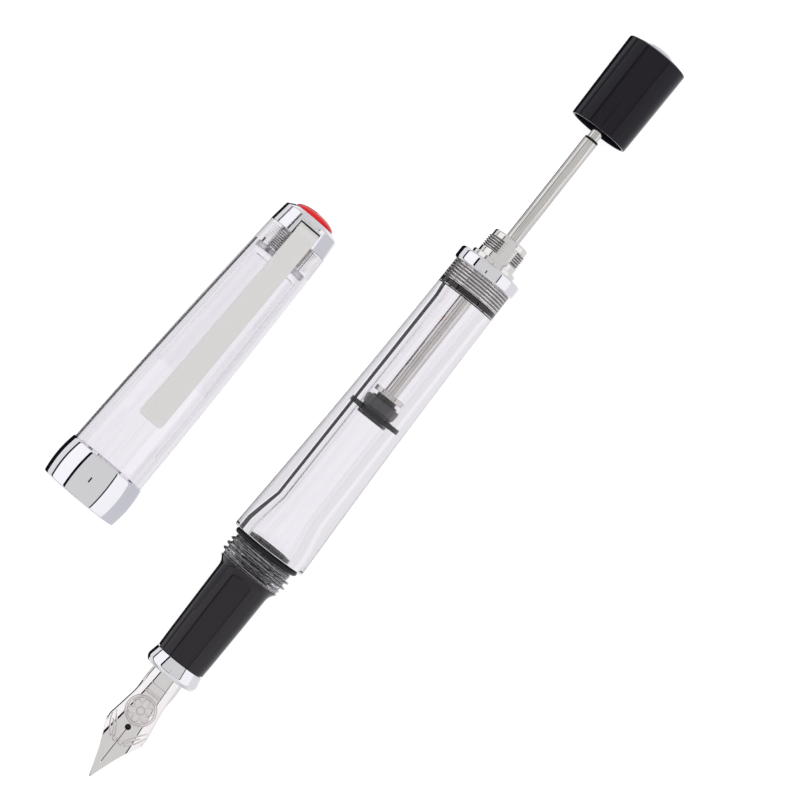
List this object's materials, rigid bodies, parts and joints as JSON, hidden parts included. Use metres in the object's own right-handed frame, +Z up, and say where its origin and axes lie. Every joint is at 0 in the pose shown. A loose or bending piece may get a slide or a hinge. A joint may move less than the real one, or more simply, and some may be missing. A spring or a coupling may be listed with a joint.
{
  "type": "fountain pen",
  "caption": "Clear vacuum-filling fountain pen with a steel nib, its plunger half out and its screw cap with a pocket clip lying off beside it.",
  "frame": {"origin": "middle of the ground that the pen and its cap cover, at the table's surface", "axes": "+X from the nib towards the filler knob, +Y from the pen towards the cap, +Z up"},
  "size_m": [0.1628, 0.0474, 0.0168],
  "materials": {
    "clear_acrylic": "clear, polished",
    "smoke_acrylic": "dark smoke, polished",
    "chrome_plate": "mirror bright",
    "nib_steel": "polished, engraved",
    "plug_metal": "turned, plated",
    "rod_steel": "ground",
    "clip_steel": "satin",
    "black_rubber": "moulded",
    "grey_rubber": "moulded",
    "black_plastic": "moulded",
    "red_plastic": "polished"
  },
  "bodies": {
    "pen_body": {"nib": "nib_steel", "feed": "black_plastic", "nib_housing": "black_plastic", "section_trim_ring": "chrome_plate", "grip_section": "smoke_acrylic", "section_o_ring": "black_rubber", "barrel": "clear_acrylic", "cap_seal_o_ring": "black_rubber", "barrel_trim_ring": "chrome_plate", "filler_plug": "plug_metal", "plug_o_ring": "black_rubber", "seal_retainer": "black_plastic", "rod_seal": "black_rubber"},
    "piston": {"piston_carrier": "black_plastic", "piston_seal": "black_rubber", "piston_washer": "rod_steel"},
    "filler_rod": {"plunger_rod": "rod_steel", "rod_end_o_ring": "black_rubber", "knob_shell": "smoke_acrylic", "knob_insert": "plug_metal", "knob_dome": "chrome_plate"},
    "cap": {"cap_tube": "clear_acrylic", "cap_band": "chrome_plate", "inner_cap": "clear_acrylic", "cap_gasket": "grey_rubber", "finial_screw": "plug_metal", "crown_ring": "chrome_plate", "finial_dome": "red_plastic"},
    "clip": {"clip": "clip_steel"}
  },
  "joints": [
    {"name": "plunger_slide", "type": "slide", "parent": "pen_body", "child": "piston", "axis": [0.9999, 0, -0.0125], "range_m": [-0.0301, 0.0212]},
    {"name": "knob_turn", "type": "hinge", "parent": "piston", "child": "filler_rod", "pos_m": [0.00325, -0.01623, 0.00701], "axis": [0.9999, 0, -0.0125], "continuous": true},
    {"name": "cap_swing", "type": "hinge", "parent": "pen_body", "child": "cap", "pos_m": [-0.06486, 0.00006, 0.008], "axis": [0, 0, 1], "range_deg": [0, 181.9]},
    {"name": "clip_flex", "type": "hinge", "parent": "cap", "child": "clip", "pos_m": [0.01711, 0.01299, 0.0101], "axis": [0.0388, 0.9883, 0.1477], "range_deg": [0, 4], "stiffness_Nm_per_rad": 3}
  ]
}
